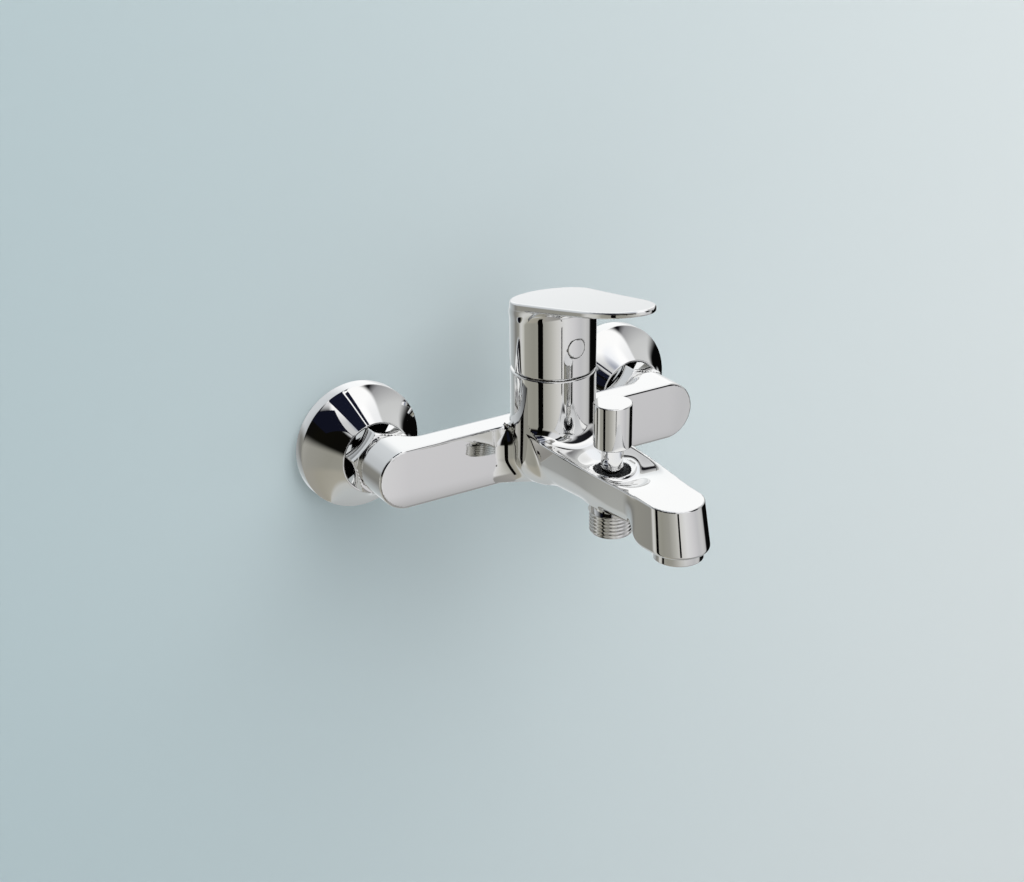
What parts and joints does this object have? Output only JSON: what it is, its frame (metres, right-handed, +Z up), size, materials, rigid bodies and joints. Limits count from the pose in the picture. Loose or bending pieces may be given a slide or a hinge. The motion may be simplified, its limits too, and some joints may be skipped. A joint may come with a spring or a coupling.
{
  "type": "wall mounted bath faucet",
  "caption": "Wall mounted single lever bath and shower mixer with eccentric unions, rosettes, pull-up diverter, threaded shower outlet and aerated spout.",
  "frame": {"origin": "on the finished wall, midway between the two inlet axes and at their height", "axes": "+X to the right along the wall as the user faces it, +Y into the wall, +Z up"},
  "size_m": [0.2138, 0.1977, 0.1286],
  "materials": {
    "chrome": "polished chrome plate",
    "brass": "machined brass",
    "steel": "stainless steel wire and pins",
    "rubber": "black sealing rubber",
    "white_plastic": "moulded white plastic",
    "grey_plastic": "moulded grey plastic",
    "ceramic": "lapped alumina ceramic"
  },
  "bodies": {
    "mixer": {"body_casting": "chrome", "s_union_left": "chrome", "s_union_right": "chrome", "rosette_left": "chrome", "rosette_right": "chrome", "union_nut_left": "chrome", "union_nut_right": "chrome", "nut_ring_left": "steel", "nut_ring_right": "steel", "union_washer_left": "rubber", "union_washer_right": "rubber", "port_seals": "rubber", "cartridge_base": "grey_plastic", "cartridge_housing": "white_plastic", "fixed_disc": "ceramic", "retaining_nut": "brass", "dome_cover": "chrome", "diverter_gland": "grey_plastic", "gland_seals": "rubber", "diverter_spring": "steel", "shower_outlet": "chrome", "check_valve_housing": "white_plastic", "check_valve_spring": "steel", "aerator_housing": "chrome", "aerator_insert": "white_plastic", "aerator_screen": "grey_plastic", "aerator_seal": "rubber"},
    "cartridge_rotor": {"rotor": "white_plastic", "pivot_pin": "steel"},
    "disc_slide": {"moving_disc": "ceramic", "disc_carrier": "white_plastic"},
    "lever": {"lever_stem": "brass", "handle": "chrome", "grub_screw": "steel", "index_button": "chrome"},
    "diverter": {"diverter_knob": "chrome", "diverter_rod": "brass", "valve_plate": "brass", "valve_washers": "rubber"},
    "poppet": {"check_valve_poppet": "white_plastic"}
  },
  "joints": [
    {"name": "temperature_turn", "type": "hinge", "parent": "mixer", "child": "cartridge_rotor", "pos_m": [0, -0.0647, 0.0375], "axis": [0, 0, 1], "range_deg": [-50, 50]},
    {"name": "flow_lift", "type": "hinge", "parent": "cartridge_rotor", "child": "lever", "pos_m": [0, -0.0647, 0.0375], "axis": [-1, 0, 0], "range_deg": [0, 15]},
    {"name": "disc_shift", "type": "slide", "parent": "cartridge_rotor", "child": "disc_slide", "axis": [0, -1, 0], "range_m": [0, 0.0045]},
    {"name": "diverter_lift", "type": "slide", "parent": "mixer", "child": "diverter", "axis": [0, 0, 1], "range_m": [0, 0.007], "stiffness_N_per_m": 150, "springref_m": -0.006, "deforming": ["diverter_spring"]},
    {"name": "check_valve_open", "type": "slide", "parent": "mixer", "child": "poppet", "axis": [0, 0, -1], "range_m": [0, 0.0014], "stiffness_N_per_m": 60, "springref_m": -0.002, "deforming": ["check_valve_spring"]}
  ],
  "couplings": [
    {"joint": "disc_shift", "follows": "flow_lift", "m_per_rad": 0.01503}
  ]
}
